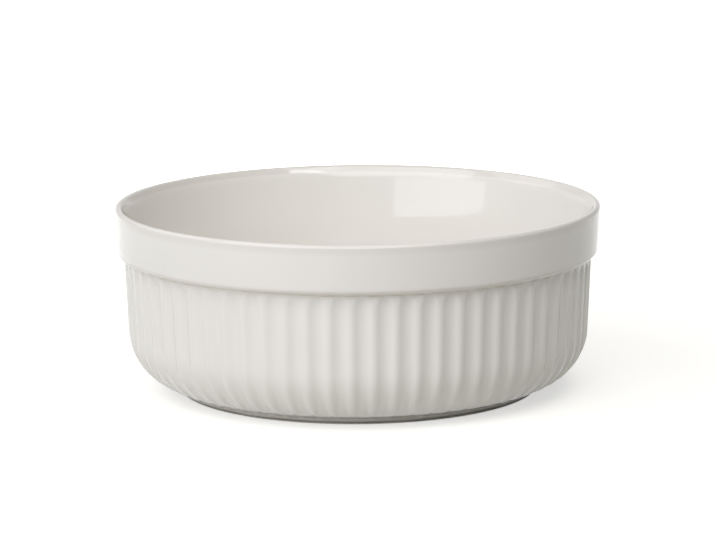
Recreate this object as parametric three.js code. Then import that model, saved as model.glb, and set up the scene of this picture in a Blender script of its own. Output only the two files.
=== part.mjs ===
import * as THREE from 'three';

// A round ribbed oven dish: a stoneware body under a fired coat of glaze, bare only at the foot ring.
// Millimetres, +Z up. The origin is the middle of the foot ring, on the surface that the dish stands on.

// Overall sizes, over the glaze and before the lip is rounded
const DIAMETER = 260;
const HEIGHT = 99.4;

// Glaze: its thickness, and how high above the standing face it stops on the foot ring
const GLAZE = 0.4;
const GLAZE_LINE = 0.6;

// Lip and collar of the body. Inside, the lip leans out by LIP_LEAN degrees over a height of LIP_DEPTH.
const LIP_THICKNESS = 2.6;
const LIP_ROUND = 1.4;
const LIP_LEAN = 28;
const LIP_DEPTH = 4.5;
const COLLAR_HEIGHT = 25.3;
const COLLAR_TAPER = 1.5;
const COLLAR_STEP = 3.2;
const COLLAR_EDGE = 2.6;

// Ribbed wall, with its draft in degrees. Each round rib takes up RIB_SHARE of the pitch, a hollow flute
// the rest. The flutes run out at the top over a height of RIB_TOP under the collar.
const WALL_THICKNESS = 4.8;
const WALL_DRAFT = 2.6;
const RIB_COUNT = 68;
const RIB_SHARE = 0.38;
const RIB_DEPTH = 1.3;
const RIB_TOP = 4.5;

// Bend under the wall: the ribs run out in points so many degrees round it, and a shoulder slopes from it
// to the foot
const BEND = 30;
const RIB_FADE = 66;
const SHOULDER_RISE = 20;

// Inside: the mouth flares out above this depth, and a round corner leads from the wall to the flat floor
const MOUTH_DEPTH = 35;
const INSIDE_CORNER = 25;
const FLOOR_THICKNESS = 5.6;

// Foot ring of the body, and the depth of the recess that it stands round
const FOOT_DIAMETER = 192.4;
const FOOT_HEIGHT = 3.1;
const FOOT_WIDTH = 6;
const FOOT_EDGE = 0.5;
const RECESS = 2.6;

// Facets: columns across one rib, and steps round each corner
const RIB_COLUMNS = 4;
const CORNER_STEPS = 3;
const EDGE_STEPS = 2;
const BEND_STEPS = 3;
const FOOT_STEPS = 1;

// The least share of a straight stretch that the rounds at its ends leave
const LEAST_STRAIGHT = 0.1;

const stoneware = new THREE.MeshStandardMaterial({ color: 0xd8ccb6, roughness: 0.85, metalness: 0 });
const glaze = new THREE.MeshStandardMaterial({ color: 0xf1eee8, roughness: 0.12, metalness: 0 });

// The left-hand normal of a way through the half section
function leftOf(way) {
  return new THREE.Vector2(-way.y, way.x);
}

// Stations of an outline in the half section (x is the radius, y the height): straight lines between
// corners, with an arc of the radius `round` at a round corner. The clay lies to the right of the way that
// the outline runs, so the normals point left, out of the clay. A corner's `ribs` gives the share of the rib
// depth that ribs reach after so many degrees of its arc. A round that is too large for the straights beside
// it is drawn in to fit.
function outline(corners) {
  const places = corners.map(({ r, z }) => new THREE.Vector2(r, z));
  const ways = places.slice(1).map((place, i) => place.clone().sub(places[i]).normalize());
  const spans = places.slice(1).map((place, i) => place.distanceTo(places[i]) * (1 - LEAST_STRAIGHT));
  const turns = places.map((_, i) => {
    const inner = i > 0 && i < places.length - 1;
    return inner ? Math.atan2(ways[i - 1].cross(ways[i]), ways[i - 1].dot(ways[i])) : 0;
  });
  const wanted = corners.map(({ round = 0 }, i) => round * Math.tan(Math.abs(turns[i]) / 2));
  const fits = spans.map((span, i) => Math.min(1, span / (wanted[i] + wanted[i + 1])));

  return corners.flatMap(({ round = 0, steps = 0, ribs = () => 0 }, i) => {
    const before = ways[i - 1] ?? ways[i];
    const after = ways[i] ?? before;
    const first = leftOf(before);
    if (steps === 0) {
      const mitre = leftOf(after).add(first).divideScalar(1 + before.dot(after));
      return [{ place: places[i], normal: mitre, ribs: ribs(0) }];
    }
    const drawnIn = Math.min(fits[i - 1], fits[i]);
    const reach = round * drawnIn * Math.sign(turns[i]);
    const start = places[i].clone().addScaledVector(before, -wanted[i] * drawnIn);
    const centre = start.addScaledVector(first, reach);
    return Array.from({ length: steps + 1 }, (_, step) => {
      const turn = turns[i] * step / steps;
      const normal = first.clone().rotateAround(new THREE.Vector2(), turn);
      const place = centre.clone().addScaledVector(normal, -reach);
      return { place, normal, ribs: ribs(THREE.MathUtils.radToDeg(Math.abs(turn))) };
    });
  });
}

// How far the section lies below a rib's crest, as a share of the rib depth, at a distance from the crest
// where 1 is the middle of a flute. The round of the rib and the hollow of the flute meet where the section
// is steepest.
function flute(fromCrest) {
  if (fromCrest < RIB_SHARE) {
    return fromCrest ** 2 / RIB_SHARE;
  }
  return 1 - (1 - fromCrest) ** 2 / (1 - RIB_SHARE);
}

// The points of a station turned round the axis, raised off the clay by `coat`. Ribs stand up from an
// outline at the bottom of the flutes, and sink into it where they run out. A station with ribs has
// RIB_COLUMNS points to each rib, and the first of them is in the middle of a flute.
function ringPoints({ place, normal, ribs }, coat) {
  if (place.x === 0) {
    return [new THREE.Vector3(0, 0, place.y + normal.y * coat)];
  }
  const columns = ribs > 0 ? RIB_COLUMNS : 1;
  return Array.from({ length: RIB_COUNT * columns }, (_, i) => {
    const fromCrest = Math.abs(1 - 2 * (i % columns) / columns);
    const rib = RIB_DEPTH * Math.max(0, ribs - flute(fromCrest));
    const point = place.clone().addScaledVector(normal, coat + rib);
    const angle = 2 * Math.PI * i / (RIB_COUNT * columns);
    return new THREE.Vector3(point.x * Math.cos(angle), point.x * Math.sin(angle), point.y);
  });
}

// Triangles between two neighbouring rings of vertex numbers, also where one ring has more points than the
// other or is a single point on the axis
function joinRings(ring, next) {
  const ringCount = ring.length > 1 ? ring.length : 0;
  const nextCount = next.length > 1 ? next.length : 0;
  const triangles = [];
  let i = 0;
  let j = 0;
  while (i < ringCount || j < nextCount) {
    const ringTurn = i < ringCount ? (i + 0.5) / ringCount : Infinity;
    const nextTurn = j < nextCount ? (j + 0.5) / nextCount : Infinity;
    triangles.push(ring[i % ring.length], next[j % next.length]);
    if (nextTurn <= ringTurn) {
      j += 1;
      triangles.push(next[j % next.length]);
    } else {
      i += 1;
      triangles.push(ring[i % ring.length]);
    }
  }
  return triangles;
}

// The stations of an outline as rings of vertex numbers, with their points added to a list
function numberedRings(stations, coat, points) {
  return stations.map((station) => ringPoints(station, coat).map((point) => points.push(point) - 1));
}

// The triangles of a sheet through neighbouring rings of vertex numbers
function sheet(rings) {
  return rings.slice(1).flatMap((next, i) => joinRings(rings[i], next));
}

function solid(name, points, triangles, material) {
  const geometry = new THREE.BufferGeometry().setFromPoints(points);
  geometry.setIndex(triangles);
  geometry.computeVertexNormals();
  const mesh = new THREE.Mesh(geometry, material);
  mesh.name = name;
  return mesh;
}

// The clay inside an outline that runs from the axis back to the axis
function clayBody(name, stations) {
  const points = [];
  return solid(name, points, sheet(numberedRings(stations, 0, points)), stoneware);
}

// A coat of glaze along an outline: its face, its back on the clay, and the edge where it stops
function glazeCoat(name, stations) {
  const points = [];
  const face = numberedRings(stations, GLAZE, points);
  const back = numberedRings(stations, 0, points);
  const edges = [...joinRings(face.at(-1), back.at(-1)), ...joinRings(back[0], face[0])];
  return solid(name, points, [...sheet(face), ...sheet(back).toReversed(), ...edges], glaze);
}

// Levels and radii of the body, worked out from the sizes above
const top = HEIGHT - GLAZE;
const lipRadius = DIAMETER / 2 - GLAZE;
const collarFoot = top - COLLAR_HEIGHT;
const collarFootRadius = lipRadius - COLLAR_TAPER;
const crestRadius = collarFootRadius - COLLAR_STEP;
const footRadius = FOOT_DIAMETER / 2;
const recessRadius = footRadius - FOOT_WIDTH;
const floor = RECESS + FLOOR_THICKNESS;
const draft = Math.tan(THREE.MathUtils.degToRad(WALL_DRAFT));
const rise = Math.tan(THREE.MathUtils.degToRad(SHOULDER_RISE));

// Radius of the rib crests at a height, and of the bottom of the flutes and the inside of the wall, which
// run parallel to them
function crestAt(z) {
  return crestRadius - (collarFoot - z) * draft;
}

function fluteAt(z) {
  return crestAt(z) - RIB_DEPTH * Math.hypot(1, draft);
}

function insideAt(z) {
  return crestAt(z) - WALL_THICKNESS * Math.hypot(1, draft);
}

// Where the line of the flutes would meet the line of the shoulder
const bendRadius = (fluteAt(FOOT_HEIGHT) - draft * rise * footRadius) / (1 - draft * rise);
const bendHeight = FOOT_HEIGHT + (bendRadius - footRadius) * rise;
const waist = top - MOUTH_DEPTH;
const ribTop = collarFoot - RIB_TOP;
const lipInside = lipRadius - LIP_THICKNESS;
const lipFoot = top - LIP_DEPTH;
const lean = Math.tan(THREE.MathUtils.degToRad(LIP_LEAN));

function ribsOnBend(degrees) {
  return Math.max(0, 1 - (degrees / RIB_FADE) ** 3);
}

// The glazed outline: the floor, up the inside, over the lip, and down the outside to the foot
const glazed = outline([
  { r: 0, z: floor },
  { r: insideAt(floor), z: floor, round: INSIDE_CORNER, steps: CORNER_STEPS },
  { r: insideAt(waist), z: waist },
  { r: lipInside - LIP_DEPTH * lean, z: lipFoot },
  { r: lipInside, z: top, round: LIP_ROUND, steps: EDGE_STEPS },
  { r: lipRadius, z: top, round: LIP_ROUND, steps: EDGE_STEPS },
  { r: collarFootRadius, z: collarFoot, round: COLLAR_EDGE, steps: EDGE_STEPS },
  { r: crestRadius, z: collarFoot },
  { r: fluteAt(ribTop), z: ribTop, ribs: () => 1 },
  { r: bendRadius, z: bendHeight, round: BEND, steps: BEND_STEPS, ribs: ribsOnBend },
  { r: footRadius, z: FOOT_HEIGHT },
  { r: footRadius, z: GLAZE_LINE },
]);

// The bare outline: round the foot ring, from one edge of the glaze to the other
const bare = outline([
  { r: footRadius, z: GLAZE_LINE },
  { r: footRadius, z: 0, round: FOOT_EDGE, steps: FOOT_STEPS },
  { r: recessRadius, z: 0, round: FOOT_EDGE, steps: FOOT_STEPS },
  { r: recessRadius, z: GLAZE_LINE },
]);

// The glazed outline under the floor, inside the foot ring
const recessed = outline([
  { r: recessRadius, z: GLAZE_LINE },
  { r: recessRadius, z: RECESS },
  { r: 0, z: RECESS },
]);

const dish = new THREE.Group();
dish.add(
  clayBody('stoneware_body', [...glazed, ...bare.slice(1), ...recessed.slice(1)]),
  glazeCoat('glaze_coat', glazed),
  glazeCoat('base_glaze', recessed),
);

export default dish;
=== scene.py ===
import math
from dataclasses import dataclass, replace

import bpy
import numpy as np
from mathutils import Matrix, Vector


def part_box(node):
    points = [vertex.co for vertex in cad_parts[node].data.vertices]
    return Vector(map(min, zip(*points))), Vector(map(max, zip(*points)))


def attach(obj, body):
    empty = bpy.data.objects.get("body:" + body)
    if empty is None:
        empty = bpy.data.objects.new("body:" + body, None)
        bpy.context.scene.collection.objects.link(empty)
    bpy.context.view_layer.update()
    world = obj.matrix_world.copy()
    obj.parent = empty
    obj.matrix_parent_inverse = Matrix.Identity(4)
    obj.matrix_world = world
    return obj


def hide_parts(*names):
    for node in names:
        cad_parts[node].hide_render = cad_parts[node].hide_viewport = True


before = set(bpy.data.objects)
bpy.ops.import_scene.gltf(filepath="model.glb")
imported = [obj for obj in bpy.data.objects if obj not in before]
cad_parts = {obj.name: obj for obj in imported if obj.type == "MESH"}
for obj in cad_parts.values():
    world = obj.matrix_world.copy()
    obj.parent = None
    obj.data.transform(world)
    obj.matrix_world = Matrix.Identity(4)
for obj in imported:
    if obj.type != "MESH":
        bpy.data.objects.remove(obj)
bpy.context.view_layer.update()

bl_info = {
    "name": "Ribbed Baking Dish",
    "version": (1, 0, 0),
    "blender": (4, 5, 0),
    "location": "3D View > Sidebar > Baking Dish",
    "description": "Builds a round ribbed oven dish of glazed stoneware, and a studio to show it in",
    "category": "Add Mesh",
}

# The frame, in metres: the box of the whole part, and what the boxes of its pieces say
COAT_LOW, COAT_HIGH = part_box("glaze_coat")
BODY_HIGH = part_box("stoneware_body")[1]
BASE_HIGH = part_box("base_glaze")[1]

MM = 0.001
WHITE = (1.0, 1.0, 1.0, 1.0)
DEPTH_AND_SHADE_LAYER = "glaze_depth_and_shade"

# Sockets of the Mix node when it mixes colours: its factor and its two colours, and its result
MIX_INPUTS = (0, 6, 7)
MIX_OUTPUT = 2

# The photograph's frame in pixels, and the focal length that was fitted to it there
PHOTO_WIDTH = 716
FOCAL_PIXELS = 3593
SENSOR_WIDTH = 36.0

# Rows and columns of the meshes. A smooth ring has SMOOTH_COLUMNS points to a rib, and a ribbed one more.
SMOOTH_COLUMNS = 4
RIBBED_COLUMNS = 16
FACE_ARC = math.radians(4)
FACE_ROW = 4 * MM
CLAY_ARC = math.radians(12)
CLAY_ROW = 12 * MM
LEAST_STRAIGHT = 0.02

# How soft glaze makes the edge where a rib or a flute runs out, as a share of the rib depth, how soon that
# softness sets in, and the power at which the ribs sink into the bend
RUN_OUT_SOFTNESS = 0.12
RUN_OUT_ONSET = 4
SINK_POWER = 3

# The slow wander of a glaze edge: its seed, its waves round the dish, and how many beads up it is felt
EDGE_SEED = 5
EDGE_WAVES = (3, 5, 8, 13, 21)
EDGE_REACH = 3

# The curvature at which glaze is at its thinnest or deepest, and how often its jumps are evened out
# The same curvature also places the painted shade on round edges and in hollows
FULL_CURVE = 1 / (3 * MM)
EVEN_PASSES = 3

# The finishes. A scale is in features to the metre. A pair gives the values between which a pattern comes to
# show in full, or between which it changes.
GLAZE_IOR = 1.52
GLAZE_CLOUD_SCALE = 16
GLAZE_CLOUD = (0.38, 0.66)
# Thin glaze also darkens round edges such as the lip, as painted shade
GLAZE_THIN_AND_SHADE_DEPTH = (0.16, 0.02)
# Deep glaze also darkens hollows such as the crevice under the collar, as painted shade
GLAZE_DEEP_AND_SHADE_DEPTH = (0.56, 1.0)
SPECK_SCALE = 70
SPECK_PICKED = (0.95, 0.96)
SPECK_EDGE = (0.028, 0.012)
SPECK_STRENGTH = 0.5
GLOSS_SCALE = 45
GLOSS_CHANGE = (0.3, 0.7)
GLOSS_LEAST = 0.85
GLOSS_MOST = 1.2
SWAY_SCALE = 32
SWAY_HEIGHT = 0.12 * MM
PEEL_SCALE = 420
PEEL_HEIGHT = 0.008 * MM
CLAY_CLOUD_SCALE = 60
CLAY_CLOUD = (0.35, 0.65)
GRAIN_SCALE = 1500
GRAIN_MIX = 0.6
GRAIN_PALE = (0.56, 0.72)
GRAIN_STRENGTH = 0.8
GRAIN_CHANGE = (0.3, 0.7)
GRAIN_HEIGHT = 0.06 * MM
FINE_GRAIN_SCALE = 4200
FINE_GRAIN_HEIGHT = 0.02 * MM
DARK_GRAIN_SCALE = 520
DARK_GRAIN_PICKED = (0.86, 0.9)
DARK_GRAIN_EDGE = (0.32, 0.14)
CLAY_ROUGHNESS_LEAST = 0.78
CLAY_ROUGHNESS_MOST = 0.94

# The studio: distance of the soft boxes from the middle of the dish, their power to the square metre at a
# brightness of 1, the side of the floor, how far it lies under the foot, and how high its white reaches up
# into the surroundings, as the sine of an angle
LAMP_DISTANCE = 1.3
LAMP_POWER = 4
FLOOR_SIDE = 9.0
FLOOR_DROP = 0.2 * MM
HAZE_TOP = 0.2


def length(name, description, default):
    """A property for a size in metres."""
    return bpy.props.FloatProperty(
        name=name, description=description, default=default, min=0.0, precision=5, unit="LENGTH"
    )


def angle(name, description, degrees):
    """A property for an angle, with its default in degrees."""
    return bpy.props.FloatProperty(
        name=name, description=description, default=math.radians(degrees), unit="ROTATION"
    )


def share(name, description, default):
    """A property for a number from 0 to 1."""
    return bpy.props.FloatProperty(
        name=name, description=description, default=default, min=0.0, max=1.0, subtype="FACTOR"
    )


def strength(name, description, default):
    """A property for a brightness, where a white surface in full light has 1."""
    return bpy.props.FloatProperty(name=name, description=description, default=default, min=0.0)


def colour(name, description, default):
    """A property for a linear colour."""
    return bpy.props.FloatVectorProperty(
        name=name, description=description, default=default, min=0.0, max=1.0, size=3, subtype="COLOR"
    )


class DishSizes(bpy.types.PropertyGroup):
    """Sizes of the clay body and its glaze, in metres."""

    height: length("Height", "Height of the dish over the glaze", COAT_HIGH.z)
    radius: length("Radius", "Widest radius of the dish over the glaze", COAT_HIGH.x)
    glaze: length("Glaze", "Thickness of the fired glaze", COAT_HIGH.z - BODY_HIGH.z)
    glaze_line: length("Glaze line", "Height on the foot ring where the glaze stops", COAT_LOW.z)
    glaze_bead: length("Glaze bead", "Width of the round edge of the glaze", 0.9 * MM)
    glaze_wander: length("Glaze wander", "How far the edge of the glaze strays from its line", 0.3 * MM)

    lip_thickness: length("Lip", "Thickness of the clay lip", 2.6 * MM)
    lip_round: length("Lip round", "Radius of the lip's edges", 1.4 * MM)
    lip_lean: angle("Lip lean", "Lean of the lip's inner side from upright", 28)
    lip_depth: length("Lip depth", "Height of the leaning side of the lip", 4.5 * MM)
    lip_blend: length("Lip blend", "Radius at which the leaning side turns into the flare", 11.0 * MM)
    collar_height: length("Collar height", "Height of the collar from its lower face to the lip", 25.3 * MM)
    collar_taper: length("Collar taper", "How much narrower the collar is at its lower edge", 1.5 * MM)
    collar_step: length("Collar step", "Step from the collar in to the crests of the ribs", 3.2 * MM)
    collar_edge: length("Collar edge", "Radius of the collar's lower edge", 2.6 * MM)
    crevice: length("Crevice", "Radius of the hollow between the collar and the wall", 1.2 * MM)

    wall_thickness: length("Wall", "Thickness of the clay wall at the crests", 4.8 * MM)
    wall_draft: angle("Wall draft", "Lean of the wall from upright", 2.6)
    rib_count: bpy.props.IntProperty(
        name="Ribs", description="Number of ribs round the wall", default=68, min=8
    )
    rib_share: share("Rib share", "Share of the pitch that a rib takes up; a flute takes the rest", 0.38)
    rib_depth: length("Rib depth", "Height of the ribs over the flutes", 1.3 * MM)
    rib_top: length("Rib top", "Height under the collar over which the flutes run out", 4.5 * MM)
    rib_scoop: length("Rib scoop", "Radius of the hollow in which the flutes run out", 22.0 * MM)
    rib_fade: angle("Rib fade", "Turn round the bend by which the ribs have run out in points", 66)

    bend: length("Bend", "Radius of the bend under the wall", 30.0 * MM)
    shoulder_rise: angle("Shoulder rise", "Slope of the shoulder between the bend and the foot", 20)
    mouth_depth: length("Mouth depth", "Depth above which the inside flares out", 35.0 * MM)
    mouth_round: length("Mouth round", "Radius at which the inside turns into the flare", 150.0 * MM)
    inside_corner: length("Inside corner", "Radius of the corner between the wall and the floor", 25.0 * MM)
    floor_thickness: length("Floor", "Thickness of the clay floor", 5.6 * MM)

    foot_height: length("Foot height", "Height of the foot ring's outer side", 3.1 * MM)
    foot_width: length("Foot width", "Width of the foot ring", 6.0 * MM)
    foot_edge: length("Foot edge", "Radius of the foot ring's edges", 0.5 * MM)
    foot_hollow: length("Foot hollow", "Radius of the hollow where the foot meets the shoulder", 1.2 * MM)
    recess_radius: length("Recess radius", "Radius of the recess inside the foot ring", BASE_HIGH.x)
    recess_depth: length("Recess depth", "Depth of the recess inside the foot ring", BASE_HIGH.z)


class DishFinish(bpy.types.PropertyGroup):
    """Colours and surface of the glaze and the bare clay."""

    glaze_colour: colour("Glaze", "Off-white of the glaze", (0.85, 0.825, 0.787))
    # The thin glaze colour darkens round edges such as the lip: partly glaze run thin, partly painted shade
    glaze_thin_and_shade: colour("Thin glaze", "Glaze where it has run thin over an edge", (0.79, 0.755, 0.715))
    # The deep glaze colour darkens hollows such as the crevice under the collar: partly gathered glaze,
    # partly painted shade
    glaze_deep_and_shade: colour("Deep glaze", "Glaze where it has gathered in a hollow", (0.815, 0.785, 0.74))
    glaze_cloud: colour("Clouded glaze", "The slow change of tone over the glaze", (0.84, 0.815, 0.778))
    glaze_speck: colour("Specks", "Rare specks under the glaze", (0.42, 0.35, 0.27))
    glaze_gloss: share("Glaze roughness", "Roughness of the fired glaze", 0.06)
    clay_colour: colour("Clay", "Bare fired stoneware", (0.74, 0.67, 0.56))
    clay_pale: colour("Pale clay", "Pale grains in the bare stoneware", (0.82, 0.77, 0.68))
    clay_dark: colour("Dark clay", "Dark grains in the bare stoneware", (0.50, 0.41, 0.31))


class StudioSettings(bpy.types.PropertyGroup):
    """The camera, the lamps and the floor."""

    camera_distance: length("Camera distance", "From the camera to the middle of the dish", 1.934)
    camera_rise: angle("Camera rise", "Height of the camera over the dish, as an angle", 11.1)
    camera_turn: angle("Camera turn", "Turn of the camera round the dish", -1.0)
    camera_roll: angle("Camera roll", "Tilt of the camera round its own line of sight", -0.45)
    camera_aim: length("Camera aim", "Height on the axis of the dish that the camera looks at", 0.0626)

    key_strength: strength("Key light", "Brightness of the soft box in front, on the left", 1.8)
    top_strength: strength("Top light", "Brightness of the soft box above, on the right", 1.9)
    fill_strength: strength("Fill light", "Brightness of the soft box at the back, on the left", 0.9)
    low_strength: strength("Low light", "Brightness of the long soft box in front, near the floor", 1.35)
    back_strength: strength("Back light", "Brightness of the soft box behind the dish", 2.3)
    glint_strength: strength("Glint", "Brightness of the small soft box that shows on the lip", 5.0)
    cool_light: colour("Cool light", "Colour of the lamps on the left", (0.965, 0.975, 1.0))
    warm_light: colour("Warm light", "Colour of the lamps on the right", (1.0, 0.955, 0.85))
    floor_colour: colour("Floor", "Pale floor", (0.635, 0.63, 0.595))
    backdrop: strength("Backdrop", "Brightness of the pale surroundings high above the floor", 0.65)
    floor_glow: strength("Floor white", "White that the eye sees near the dish, over the lit floor", 0.58)
    glow_start: length("Glow start", "Distance from the dish at which the floor's white begins to rise", 0.2)
    glow_end: length("Glow end", "Distance from the dish at which the floor is white by itself", 0.75)


@dataclass
class SoftBox:
    """A soft box that faces the dish: azimuth and rise in degrees, width and height in metres.

    One that isn't `mirrored` lights the dish without showing in its gloss.
    """

    azimuth: float
    rise: float
    width: float
    height: float
    warm: bool = False
    mirrored: bool = True


@dataclass
class Corner:
    """A corner of an outline in the half section, and the radius of its round."""

    r: float
    z: float
    round: float = 0.0


@dataclass
class Station:
    """A place on an outline: radius, height, outward normal, curvature and thickness of the glaze there.

    The curvature is above 0 in a hollow and below 0 on a round edge. `shift` is how far the station strays
    with the edge of the glaze.
    """

    r: float
    z: float
    normal: Vector
    curve: float = 0.0
    coat: float = 0.0
    shift: float = 0.0


SOFT_BOXES = {
    "key": SoftBox(-26, 44, 1.8, 1.1),
    "top": SoftBox(40, 68, 0.75, 0.65, warm=True),
    "fill": SoftBox(-112, 38, 0.8, 0.7),
    "glint": SoftBox(32, 49, 0.33, 0.1),
    "low": SoftBox(-47, 9, 1.25, 0.4),
    "back": SoftBox(-172, 20, 1.6, 0.7, mirrored=False),
}


def left_of(way):
    """The left-hand normal of a way through the half section."""
    return Vector((-way.y, way.x))


def outline(corners, arc, row):
    """Stations along an outline with round corners, in steps of at most `arc` and rows of at most `row`.

    The clay lies to the right of the way that the outline runs, so the normals point left, out of the clay.
    """
    places = [Vector((corner.r, corner.z)) for corner in corners]
    ways = [(end - start).normalized() for start, end in zip(places, places[1:])]
    spans = [(end - start).length * (1 - LEAST_STRAIGHT) for start, end in zip(places, places[1:])]
    turns = [0.0, *(math.atan2(a.x * b.y - a.y * b.x, a.dot(b)) for a, b in zip(ways, ways[1:])), 0.0]
    reaches = [corner.round * math.tan(abs(turn) / 2) for corner, turn in zip(corners, turns)]
    fits = [span / max(a + b, span) for span, a, b in zip(spans, reaches, reaches[1:])]

    stations = [Station(*places[0], left_of(ways[0]))]
    for i, (corner, turn) in enumerate(zip(corners, turns)):
        if turn == 0.0:
            continue
        drawn_in = min(fits[i - 1], fits[i])
        radius = corner.round * drawn_in * math.copysign(1, turn)
        normal = left_of(ways[i - 1])
        start = places[i] - ways[i - 1] * reaches[i] * drawn_in
        centre = start + normal * radius
        add_straight(stations, start, normal, row)
        steps = math.ceil(max(abs(turn) / arc, abs(turn * radius) / row))
        for step in range(steps + 1):
            turned = normal.copy()
            turned.rotate(Matrix.Rotation(turn * step / steps, 2))
            stations.append(Station(*(centre - turned * radius), turned, 1 / radius))
    add_straight(stations, places[-1], left_of(ways[-1]), row)
    stations.append(Station(*places[-1], left_of(ways[-1])))
    return stations


def add_straight(stations, end, normal, row):
    """Adds the rows of a straight between the last station and its end."""
    start = Vector((stations[-1].r, stations[-1].z))
    rows = math.ceil((end - start).length / row)
    for i in range(1, rows):
        stations.append(Station(*start.lerp(end, i / rows), normal))


class DishForm:
    """The half section of the dish, worked out from its sizes. Levels and radii are those of the clay."""

    def __init__(self, sizes):
        self.sizes = sizes
        self.top = sizes.height - sizes.glaze
        self.collar_foot = self.top - sizes.collar_height
        rounded_off = sizes.collar_taper * sizes.lip_round / sizes.collar_height
        self.lip_radius = sizes.radius - sizes.glaze + rounded_off
        self.collar_foot_radius = self.lip_radius - sizes.collar_taper
        self.crest_radius = self.collar_foot_radius - sizes.collar_step
        self.foot_radius = sizes.recess_radius + sizes.foot_width
        self.floor = sizes.recess_depth + sizes.floor_thickness
        self.draft = math.tan(sizes.wall_draft)

    def crest_at(self, z):
        """Radius of the rib crests at a height."""
        return self.crest_radius - (self.collar_foot - z) * self.draft

    def flute_at(self, z):
        """Radius of the bottom of the flutes, which runs parallel to the crests, at a height."""
        return self.crest_at(z) - self.sizes.rib_depth * math.hypot(1, self.draft)

    def inside_at(self, z):
        """Radius of the inside of the wall, which runs parallel to the crests, at a height."""
        return self.crest_at(z) - self.sizes.wall_thickness * math.hypot(1, self.draft)

    def glazed(self, arc, row):
        """The glazed outline: the floor, up the inside, over the lip and down the outside to the foot."""
        sizes = self.sizes
        waist = self.top - sizes.mouth_depth
        lip_inside = self.lip_radius - sizes.lip_thickness
        lip_foot = lip_inside - sizes.lip_depth * math.tan(sizes.lip_lean)
        rib_top = self.collar_foot - sizes.rib_top
        rise = math.tan(sizes.shoulder_rise)
        slope = self.draft * rise
        bend_radius = (self.flute_at(sizes.foot_height) - slope * self.foot_radius) / (1 - slope)
        bend_height = sizes.foot_height + (bend_radius - self.foot_radius) * rise
        return outline([
            Corner(0, self.floor),
            Corner(self.inside_at(self.floor), self.floor, sizes.inside_corner),
            Corner(self.inside_at(waist), waist, sizes.mouth_round),
            Corner(lip_foot, self.top - sizes.lip_depth, sizes.lip_blend),
            Corner(lip_inside, self.top, sizes.lip_round),
            Corner(self.lip_radius, self.top, sizes.lip_round),
            Corner(self.collar_foot_radius, self.collar_foot, sizes.collar_edge),
            Corner(self.crest_radius, self.collar_foot, sizes.crevice),
            Corner(self.flute_at(rib_top), rib_top, sizes.rib_scoop),
            Corner(bend_radius, bend_height, sizes.bend),
            Corner(self.foot_radius, sizes.foot_height, sizes.foot_hollow),
            Corner(self.foot_radius, sizes.glaze_line),
        ], arc, row)

    def bare(self, arc, row):
        """The bare outline round the foot ring, from one edge of the glaze to the other."""
        sizes = self.sizes
        return outline([
            Corner(self.foot_radius, sizes.glaze_line),
            Corner(self.foot_radius, 0, sizes.foot_edge),
            Corner(sizes.recess_radius, 0, sizes.foot_edge),
            Corner(sizes.recess_radius, sizes.glaze_line),
        ], arc, row)

    def recessed(self, arc, row):
        """The glazed outline under the floor, inside the foot ring."""
        sizes = self.sizes
        return outline([
            Corner(sizes.recess_radius, sizes.glaze_line),
            Corner(sizes.recess_radius, sizes.recess_depth, sizes.foot_edge),
            Corner(0, sizes.recess_depth),
        ], arc, row)

    def on_wall(self, station):
        """Whether a station lies on the outside between the collar and the foot."""
        return station.normal.x > 0 and self.sizes.foot_height < station.z < self.collar_foot

    def section(self, from_crest):
        """Depth and curvature of the fluted section, from 0 on a crest to 1 in the middle of a flute."""
        rib = self.sizes.rib_share
        on_rib = from_crest < rib
        depth = np.where(on_rib, from_crest ** 2 / rib, 1 - (1 - from_crest) ** 2 / (1 - rib))
        curve = np.where(on_rib, -2 / rib, 2 / (1 - rib))
        return depth, curve

    def ribs(self, station, from_crest):
        """Height of the ribs over a station on the wall, and the curvature that they add.

        Under the collar the flutes run out in round tops, and on the bend the ribs run out in points.
        """
        sizes = self.sizes
        depth, curve = self.section(from_crest)
        opened = min(1, (self.crest_at(station.z) - station.r) / sizes.rib_depth)
        turned = max(0, math.atan2(-station.normal.y, station.normal.x) - sizes.wall_draft)
        sunk = (turned / sizes.rib_fade) ** SINK_POWER
        height = opened - soft_ramp(depth - 1 + opened, 1 - opened)
        height = soft_ramp(height - sunk, sunk)
        half_pitch = math.pi * station.r / sizes.rib_count
        shown = np.clip(height, 0, 1) * opened
        return height * sizes.rib_depth, shown * curve * sizes.rib_depth / half_pitch ** 2

    def ring(self, station):
        """Points of a station turned round the axis, and the curvature of the surface at each of them."""
        sizes = self.sizes
        if station.r < sizes.glaze:
            return np.array([(0, 0, station.z + station.normal.y * station.coat)]), np.zeros(1)
        ribbed = self.on_wall(station)
        columns = RIBBED_COLUMNS if ribbed else SMOOTH_COLUMNS
        count = sizes.rib_count * columns
        thinned = max(0, math.floor(math.log2(self.foot_radius / station.r)))
        count //= 2 ** thinned
        number = np.arange(count)
        raised, curve = np.full(count, station.coat), np.full(count, station.curve)
        if ribbed:
            height, added = self.ribs(station, np.abs(1 - 2 * (number % columns) / columns))
            raised, curve = raised + height, curve + added
        turn = 2 * math.pi * number / count
        radius = station.r + station.normal.x * raised
        height = station.z + station.normal.y * raised + station.shift * edge_wander(turn)
        return np.column_stack((radius * np.cos(turn), radius * np.sin(turn), height)), curve


def soft_ramp(value, run_out):
    """The value where it is above 0, and 0 below, with a soft edge where a rib or a flute is running out."""
    softness = RUN_OUT_SOFTNESS * min(1, RUN_OUT_ONSET * run_out)
    return (value + np.sqrt(value ** 2 + softness ** 2)) / 2


def edge_wander(turn):
    """A slow wander round the dish, from -1 to 1."""
    generator = np.random.default_rng(EDGE_SEED)
    waves = np.array(EDGE_WAVES)
    phases = generator.uniform(0, 2 * math.pi, len(waves))
    heights = 1 / np.sqrt(waves)
    return (np.sin(np.outer(turn, waves) + phases) @ heights) / heights.sum()


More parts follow.
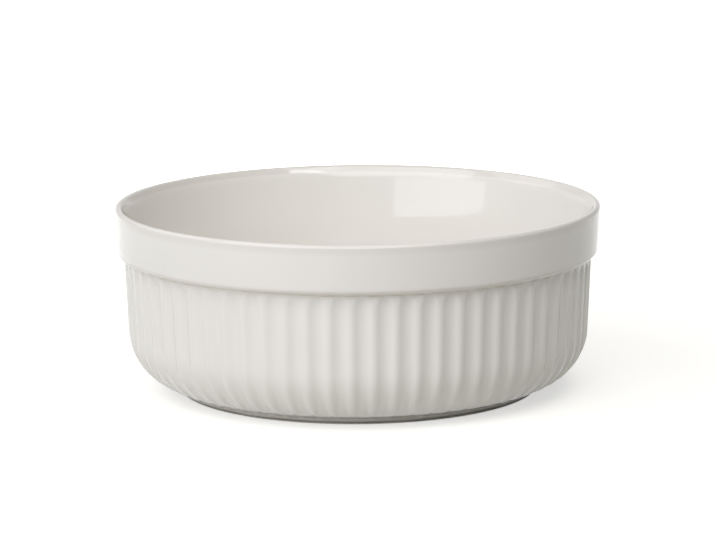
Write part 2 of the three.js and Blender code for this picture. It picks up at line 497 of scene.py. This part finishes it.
def join_rings(ring, following):
    """Faces between two neighbouring rings of vertex numbers, also where their counts differ."""
    count, next_count = len(ring), len(following)
    if count == next_count:
        return [(ring[i - 1], following[i - 1], following[i], ring[i]) for i in range(count)]
    steps = count if count > 1 else 0
    next_steps = next_count if next_count > 1 else 0
    faces = []
    i = j = 0
    while i < steps or j < next_steps:
        turn = (i + 0.5) / steps if i < steps else math.inf
        next_turn = (j + 0.5) / next_steps if j < next_steps else math.inf
        here, there = ring[i % count], following[j % next_count]
        if next_turn <= turn:
            j += 1
            faces.append((here, there, following[j % next_count]))
        else:
            i += 1
            faces.append((here, there, ring[i % count]))
    return faces


def turned_piece(name, form, stations, material):
    """A closed piece turned from stations that run from the axis back to the axis."""
    points, curves, rings, faces = [], [], [], []
    first = 0
    for station in stations:
        ring, curve = form.ring(station)
        points.append(ring)
        curves.append(curve)
        rings.append(range(first, first + len(ring)))
        first += len(ring)
    for ring, following in zip(rings, rings[1:]):
        faces.extend(join_rings(ring, following))
    mesh = bpy.data.meshes.new(name)
    mesh.from_pydata(np.concatenate(points), [], faces)
    depth = mesh.attributes.new(DEPTH_AND_SHADE_LAYER, "FLOAT", "POINT")
    depth.data.foreach_set("value", glaze_depth_and_shade(np.concatenate(curves)))
    mesh.shade_smooth()
    mesh.validate()
    mesh.materials.append(material)
    piece = bpy.data.objects.new(name, mesh)
    bpy.context.scene.collection.objects.link(piece)
    return piece


def glaze_depth_and_shade(curves):
    """How far glaze has gathered, from 0 on a sharp edge to 1 in a tight hollow; painted shade follows it
    too.
    """
    return (0.5 + 0.5 * np.clip(curves / FULL_CURVE, -1, 1)).astype(np.float32)


def even_curves(stations):
    """Evens out the jumps of the curvature between the straights and the arcs of an outline."""
    curves = np.array([station.curve for station in stations])
    for _ in range(EVEN_PASSES):
        inner = (curves[:-2] + 2 * curves[1:-1] + curves[2:]) / 4
        curves = np.concatenate((curves[:1], inner, curves[-1:]))
    return [replace(station, curve=curve) for station, curve in zip(stations, curves)]


def coat_of(face, back, sizes):
    """Stations of a glaze coat: its face from the axis to its edge, and back along the clay to the axis.

    The face thins to nothing in a round bead at the edge, which strays a little from its line.
    """
    edge = face[-1]
    raised = []
    for station in face[:-1]:
        gap = math.hypot(station.r - edge.r, station.z - edge.z)
        near = max(0, 1 - gap / sizes.glaze_bead)
        stray = max(0, 1 - gap / (EDGE_REACH * sizes.glaze_bead))
        coat = sizes.glaze * math.sqrt(1 - near ** 2)
        raised.append(replace(station, coat=coat, shift=sizes.glaze_wander * stray))
    line = replace(edge, shift=sizes.glaze_wander)
    return [*even_curves(raised), line, *reversed(back[:-1])]


def feed(tree, socket, value):
    """Links an output to an input socket, or sets the socket to a value."""
    if isinstance(value, bpy.types.NodeSocket):
        tree.links.new(value, socket)
    else:
        socket.default_value = value


def add_node(tree, kind, settings=(), **inputs):
    """Adds a shader node, with its settings, and with values or links for the inputs that are named."""
    node = tree.nodes.new(kind)
    for name, value in dict(settings).items():
        setattr(node, name, value)
    for name, value in inputs.items():
        feed(tree, node.inputs[name.replace("_", " ")], value)
    return node


def new_material(name):
    """An empty node material, its tree and its output."""
    material = bpy.data.materials.new(name)
    material.use_nodes = True
    tree = material.node_tree
    tree.nodes.clear()
    return material, tree, tree.nodes.new("ShaderNodeOutputMaterial")


def rgba(rgb):
    """A colour as a shader socket takes it."""
    return (*rgb, 1.0)


def combine(tree, operation, first, second):
    """Two sockets, or a socket and a number, combined by an operation of the Math node."""
    node = add_node(tree, "ShaderNodeMath", {"operation": operation})
    feed(tree, node.inputs[0], first)
    feed(tree, node.inputs[1], second)
    return node.outputs[0]


def product(tree, first, second):
    """The product of two sockets, or of a socket and a number."""
    return combine(tree, "MULTIPLY", first, second)


def mix_colours(tree, factor, first, second):
    """A mix of two colours, each a socket or a colour."""
    node = add_node(tree, "ShaderNodeMix", {"data_type": "RGBA"})
    for number, value in zip(MIX_INPUTS, (factor, first, second)):
        feed(tree, node.inputs[number], value)
    return node.outputs[MIX_OUTPUT]


def ramp(tree, factor, low, high, to_low=0.0, to_high=1.0):
    """A smooth ramp of a factor between two values."""
    ends = {"From_Min": low, "From_Max": high, "To_Min": to_low, "To_Max": to_high}
    smooth = {"interpolation_type": "SMOOTHSTEP"}
    return add_node(tree, "ShaderNodeMapRange", smooth, Value=factor, **ends).outputs[0]


def noise(tree, place, scale, detail, roughness=0.5):
    """A soft noise with `scale` features to the metre."""
    grain = {"Scale": scale, "Detail": detail, "Roughness": roughness}
    return add_node(tree, "ShaderNodeTexNoise", Vector=place, **grain).outputs["Fac"]


def dots(tree, place, scale, picked, edge):
    """Round dots in the picked ones of a pattern of cells, of which there are `scale` to the metre."""
    cells = add_node(tree, "ShaderNodeTexVoronoi", Vector=place, Scale=scale, Randomness=1.0)
    draw = add_node(tree, "ShaderNodeSeparateColor", Color=cells.outputs["Color"]).outputs[0]
    return product(tree, ramp(tree, draw, *picked), ramp(tree, cells.outputs["Distance"], *edge))


def bump(tree, height, distance, normal=None):
    """A bump of a height in metres over another one."""
    node = add_node(tree, "ShaderNodeBump", Height=height, Distance=distance, Strength=1.0)
    if normal is not None:
        tree.links.new(normal, node.inputs["Normal"])
    return node.outputs[0]


def glaze_material(finish):
    """Glossy off-white glaze: darker over edges where thin and in hollows where gathered, both partly
    painted shade, faintly clouded, with rare specks.
    """
    material, tree, output = new_material("off_white_glaze")
    place = add_node(tree, "ShaderNodeTexCoord").outputs["Object"]

    cloud = ramp(tree, noise(tree, place, GLAZE_CLOUD_SCALE, detail=3), *GLAZE_CLOUD)
    body = mix_colours(tree, cloud, rgba(finish.glaze_colour), rgba(finish.glaze_cloud))
    depth = add_node(tree, "ShaderNodeAttribute", {"attribute_name": DEPTH_AND_SHADE_LAYER}).outputs["Fac"]
    # Round edges such as the lip darken: partly thin glaze, partly painted shade
    thinned = mix_colours(tree, ramp(tree, depth, *GLAZE_THIN_AND_SHADE_DEPTH), body, rgba(finish.glaze_thin_and_shade))
    # Hollows such as the crevice under the collar darken: partly gathered glaze, partly painted shade
    gathered = mix_colours(tree, ramp(tree, depth, *GLAZE_DEEP_AND_SHADE_DEPTH), thinned, rgba(finish.glaze_deep_and_shade))
    speck = product(tree, dots(tree, place, SPECK_SCALE, SPECK_PICKED, SPECK_EDGE), SPECK_STRENGTH)
    coloured = mix_colours(tree, speck, gathered, rgba(finish.glaze_speck))

    least, most = finish.glaze_gloss * GLOSS_LEAST, finish.glaze_gloss * GLOSS_MOST
    gloss = ramp(tree, noise(tree, place, GLOSS_SCALE, detail=3), *GLOSS_CHANGE, least, most)
    sway = bump(tree, noise(tree, place, SWAY_SCALE, detail=1), SWAY_HEIGHT)
    peel = bump(tree, noise(tree, place, PEEL_SCALE, detail=1), PEEL_HEIGHT, sway)
    shader = add_node(tree, "ShaderNodeBsdfPrincipled", Base_Color=coloured, Roughness=gloss, Normal=peel)
    shader.inputs["IOR"].default_value = GLAZE_IOR
    tree.links.new(shader.outputs[0], output.inputs["Surface"])
    return material


def clay_material(finish):
    """Bare fired stoneware: matte buff with pale and dark grains, open pores and a fine rough grain."""
    material, tree, output = new_material("bare_stoneware")
    place = add_node(tree, "ShaderNodeTexCoord").outputs["Object"]

    cloud = ramp(tree, noise(tree, place, CLAY_CLOUD_SCALE, detail=4), *CLAY_CLOUD)
    body = mix_colours(tree, cloud, rgba(finish.clay_colour), rgba(finish.clay_pale))
    grains = noise(tree, place, GRAIN_SCALE, detail=3, roughness=GRAIN_MIX)
    pale = ramp(tree, grains, *GRAIN_PALE, 0.0, GRAIN_STRENGTH)
    paled = mix_colours(tree, pale, body, rgba(finish.clay_pale))
    dark = dots(tree, place, DARK_GRAIN_SCALE, DARK_GRAIN_PICKED, DARK_GRAIN_EDGE)
    coloured = mix_colours(tree, dark, paled, rgba(finish.clay_dark))

    rough = ramp(tree, grains, *GRAIN_CHANGE, CLAY_ROUGHNESS_LEAST, CLAY_ROUGHNESS_MOST)
    coarse = bump(tree, grains, GRAIN_HEIGHT)
    fine = bump(tree, noise(tree, place, FINE_GRAIN_SCALE, detail=2), FINE_GRAIN_HEIGHT, coarse)
    shader = add_node(tree, "ShaderNodeBsdfPrincipled", Base_Color=coloured, Roughness=rough, Normal=fine)
    tree.links.new(shader.outputs[0], output.inputs["Surface"])
    return material


def made_once(name, make, *settings):
    """The material of that name, made the first time that it is asked for."""
    return bpy.data.materials.get(name) or make(*settings)


def seen_directly(tree):
    """1 for rays that the eye follows: straight from the camera, or by a reflection or through glass."""
    path = add_node(tree, "ShaderNodeLightPath")
    factor = path.outputs["Is Camera Ray"]
    for other in ("Is Glossy Ray", "Is Transmission Ray"):
        factor = combine(tree, "MAXIMUM", factor, path.outputs[other])
    return factor


def floor_material(studio):
    """Pale floor that the eye sees as white in open light, with the shadow of the dish left on it."""
    material, tree, output = new_material("pale_floor")
    place = add_node(tree, "ShaderNodeNewGeometry").outputs["Position"]
    away = add_node(tree, "ShaderNodeVectorMath", {"operation": "LENGTH"})
    tree.links.new(place, away.inputs[0])
    lit = add_node(tree, "ShaderNodeBsdfDiffuse", Color=rgba(studio.floor_colour))
    white = ramp(tree, away.outputs["Value"], studio.glow_start, studio.glow_end, studio.floor_glow, 1.0)
    seen = product(tree, seen_directly(tree), white)
    glow = add_node(tree, "ShaderNodeEmission", Color=WHITE, Strength=seen)
    both = tree.nodes.new("ShaderNodeAddShader")
    tree.links.new(lit.outputs[0], both.inputs[0])
    tree.links.new(glow.outputs[0], both.inputs[1])
    tree.links.new(both.outputs[0], output.inputs["Surface"])
    material.cycles.emission_sampling = "NONE"
    return material


def pale_world(studio):
    """A world that is pale where the eye sees it, and gives no light of its own."""
    world = bpy.data.worlds.new("studio")
    world.use_nodes = True
    tree = world.node_tree
    tree.nodes.clear()
    way = add_node(tree, "ShaderNodeTexCoord").outputs["Generated"]
    height = add_node(tree, "ShaderNodeSeparateXYZ", Vector=way).outputs["Z"]
    pale = ramp(tree, height, 0.0, HAZE_TOP, 1.0, studio.backdrop)
    seen = product(tree, seen_directly(tree), pale)
    background = add_node(tree, "ShaderNodeBackground", Color=WHITE, Strength=seen)
    output = tree.nodes.new("ShaderNodeOutputWorld")
    tree.links.new(background.outputs[0], output.inputs["Surface"])
    return world


def facing(place, aim):
    """The place of something that looks at a point along its own -Z, with its Y upright."""
    turn = (Vector(aim) - Vector(place)).to_track_quat("-Z", "Y")
    return Matrix.Translation(place) @ turn.to_matrix().to_4x4()


def around(azimuth, rise, distance, middle):
    """A point round the dish, its angles in degrees. The azimuth runs rightward from the camera's side."""
    side, up = math.radians(azimuth), math.radians(rise)
    way = Vector((math.sin(side) * math.cos(up), -math.cos(side) * math.cos(up), math.sin(up)))
    return Vector(middle) + way * distance


def add_lamp(name, place, aim, size, brightness, tint):
    """A soft box of a width and a height, with the same brightness all over."""
    lamp = bpy.data.lights.new(name, "AREA")
    lamp.shape = "RECTANGLE"
    lamp.size, lamp.size_y = size
    lamp.color = tint
    lamp.energy = LAMP_POWER * size[0] * size[1] * brightness
    piece = bpy.data.objects.new(name, lamp)
    piece.matrix_world = facing(place, aim)
    piece.visible_camera = False
    bpy.context.scene.collection.objects.link(piece)
    return piece


def add_floor(name, material):
    """The square floor that the dish stands on."""
    half = FLOOR_SIDE / 2
    corners = [(-half, -half, 0), (half, -half, 0), (half, half, 0), (-half, half, 0)]
    mesh = bpy.data.meshes.new(name)
    mesh.from_pydata(corners, [], [(0, 1, 2, 3)])
    mesh.materials.append(material)
    piece = bpy.data.objects.new(name, mesh)
    piece.location.z = -FLOOR_DROP
    bpy.context.scene.collection.objects.link(piece)


class DISH_OT_stoneware_body(bpy.types.Operator):
    """Builds the clay body, of which only the foot ring is bare"""

    bl_idname = "dish.stoneware_body"
    bl_label = "Stoneware Body"

    def execute(self, context):
        form = DishForm(context.scene.dish_sizes)
        inside, foot, under = (
            part(CLAY_ARC, CLAY_ROW) for part in (form.glazed, form.bare, form.recessed)
        )
        material = made_once("bare_stoneware", clay_material, context.scene.dish_finish)
        piece = turned_piece("clay_body", form, [*inside, *foot[1:], *under[1:]], material)
        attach(piece, "root")
        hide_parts("stoneware_body")
        return {"FINISHED"}


class DISH_OT_glaze_coat(bpy.types.Operator):
    """Builds the coat of glaze over the inside, the lip, the collar, the ribs and the side of the foot"""

    bl_idname = "dish.glaze_coat"
    bl_label = "Glaze Coat"

    def execute(self, context):
        sizes = context.scene.dish_sizes
        form = DishForm(sizes)
        face = form.glazed(FACE_ARC, FACE_ROW)
        back = form.glazed(CLAY_ARC, CLAY_ROW)
        material = made_once("off_white_glaze", glaze_material, context.scene.dish_finish)
        piece = turned_piece("dish_glaze", form, coat_of(face, back, sizes), material)
        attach(piece, "root")
        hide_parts("glaze_coat")
        return {"FINISHED"}


class DISH_OT_base_glaze(bpy.types.Operator):
    """Builds the glaze in the recess under the floor, inside the foot ring"""

    bl_idname = "dish.base_glaze"
    bl_label = "Base Glaze"

    def execute(self, context):
        sizes = context.scene.dish_sizes
        form = DishForm(sizes)
        face = form.recessed(FACE_ARC, FACE_ROW)[::-1]
        back = form.recessed(CLAY_ARC, CLAY_ROW)[::-1]
        material = made_once("off_white_glaze", glaze_material, context.scene.dish_finish)
        piece = turned_piece("recess_glaze", form, coat_of(face, back, sizes)[::-1], material)
        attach(piece, "root")
        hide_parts("base_glaze")
        return {"FINISHED"}


class DISH_OT_studio(bpy.types.Operator):
    """Sets up the floor, the lamps and the camera"""

    bl_idname = "dish.studio"
    bl_label = "Studio"

    def execute(self, context):
        scene = context.scene
        studio = scene.dish_studio
        middle = (0, 0, scene.dish_sizes.height / 2)

        add_floor("studio_floor", made_once("pale_floor", floor_material, studio))
        for name, box in SOFT_BOXES.items():
            place = around(box.azimuth, box.rise, LAMP_DISTANCE, middle)
            tint = studio.warm_light if box.warm else studio.cool_light
            brightness = getattr(studio, f"{name}_strength")
            lamp = add_lamp(f"{name}_light", place, middle, (box.width, box.height), brightness, tint)
            lamp.visible_glossy = box.mirrored
        scene.world = pale_world(studio)

        camera = bpy.data.cameras.new("camera")
        camera.sensor_fit = "HORIZONTAL"
        camera.sensor_width = SENSOR_WIDTH
        camera.lens = SENSOR_WIDTH * FOCAL_PIXELS / PHOTO_WIDTH
        rise, turn = math.degrees(studio.camera_rise), math.degrees(studio.camera_turn)
        place = around(turn, rise, studio.camera_distance, middle)
        holder = bpy.data.objects.new("camera", camera)
        roll = Matrix.Rotation(studio.camera_roll, 4, "Z")
        holder.matrix_world = facing(place, (0, 0, studio.camera_aim)) @ roll
        scene.collection.objects.link(holder)
        scene.camera = holder
        scene.view_settings.view_transform = "Standard"
        return {"FINISHED"}


class DISH_PT_panel(bpy.types.Panel):
    """Lists the sizes, the finish and the steps that build the dish"""

    bl_idname = "DISH_PT_panel"
    bl_label = "Baking Dish"
    bl_space_type = "VIEW_3D"
    bl_region_type = "UI"
    bl_category = "Baking Dish"

    def draw(self, context):
        scene = context.scene
        for operator in OPERATORS:
            self.layout.operator(operator.bl_idname)
        for settings in (scene.dish_sizes, scene.dish_finish, scene.dish_studio):
            box = self.layout.box()
            for name in settings.__annotations__:
                box.prop(settings, name)


OPERATORS = (DISH_OT_stoneware_body, DISH_OT_glaze_coat, DISH_OT_base_glaze, DISH_OT_studio)
CLASSES = (DishSizes, DishFinish, StudioSettings, *OPERATORS, DISH_PT_panel)


def register():
    for each in CLASSES:
        bpy.utils.register_class(each)
    bpy.types.Scene.dish_sizes = bpy.props.PointerProperty(type=DishSizes)
    bpy.types.Scene.dish_finish = bpy.props.PointerProperty(type=DishFinish)
    bpy.types.Scene.dish_studio = bpy.props.PointerProperty(type=StudioSettings)


def unregister():
    del bpy.types.Scene.dish_studio
    del bpy.types.Scene.dish_finish
    del bpy.types.Scene.dish_sizes
    for each in reversed(CLASSES):
        bpy.utils.unregister_class(each)


def main():
    """Builds the dish and its studio."""
    register()
    bpy.ops.dish.stoneware_body()
    bpy.ops.dish.glaze_coat()
    bpy.ops.dish.base_glaze()
    bpy.ops.dish.studio()


if __name__ == "__main__":
    main()
